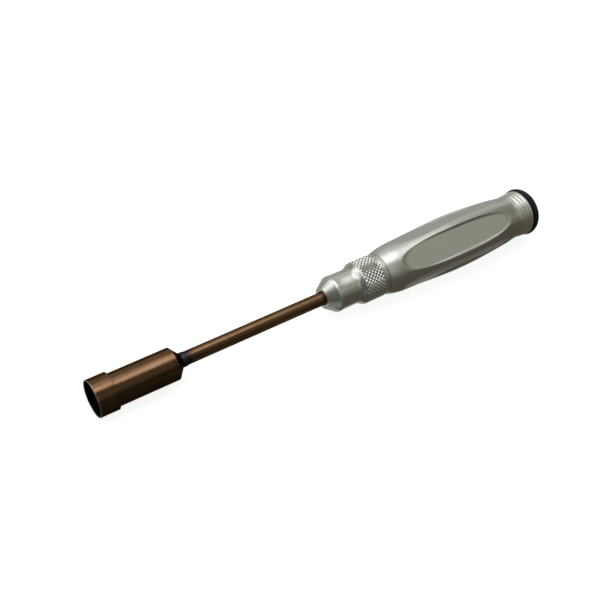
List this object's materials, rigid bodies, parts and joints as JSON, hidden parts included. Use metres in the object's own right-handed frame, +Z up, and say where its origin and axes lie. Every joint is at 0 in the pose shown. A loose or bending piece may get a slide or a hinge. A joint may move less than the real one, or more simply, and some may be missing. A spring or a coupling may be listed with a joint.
{
  "type": "nut driver",
  "caption": "Straight nut driver: deep hex socket on a round bronze-brown shank, clamped in a swelling aluminium handle with milled flutes, a diamond knurl and a black domed end cap.",
  "frame": {"origin": "on the tool's axis, at the middle of its length", "axes": "+X along the tool's axis from the socket's mouth to the end cap, +Z up with one flute facing straight down"},
  "size_m": [0.1742, 0.0196, 0.0187],
  "materials": {
    "bronze_steel": "bronze-brown coating over fine turned lines, half gloss",
    "braze": "dark, heat-tinted braze",
    "satin_aluminium": "bead-blasted and clear anodised, satin",
    "black_steel": "black oxide",
    "black_plastic": "black, half matt"
  },
  "bodies": {
    "handle": {"nose": "satin_aluminium", "barrel": "satin_aluminium", "end_cap": "black_plastic"},
    "tip": {"socket": "bronze_steel", "braze_fillet": "braze", "shaft": "bronze_steel"},
    "screw_under": {"set_screw_under": "black_steel"},
    "screw_side": {"set_screw_side": "black_steel"}
  },
  "joints": [
    {"name": "tip_pull", "type": "slide", "parent": "handle", "child": "tip", "axis": [-1, 0, 0], "range_m": [0, 0.0185]},
    {"name": "screw_under_back_out", "type": "slide", "parent": "handle", "child": "screw_under", "axis": [0, 0, -1], "range_m": [0, 0.001]},
    {"name": "screw_side_back_out", "type": "slide", "parent": "handle", "child": "screw_side", "axis": [0, 1, 0], "range_m": [0, 0.001]}
  ]
}
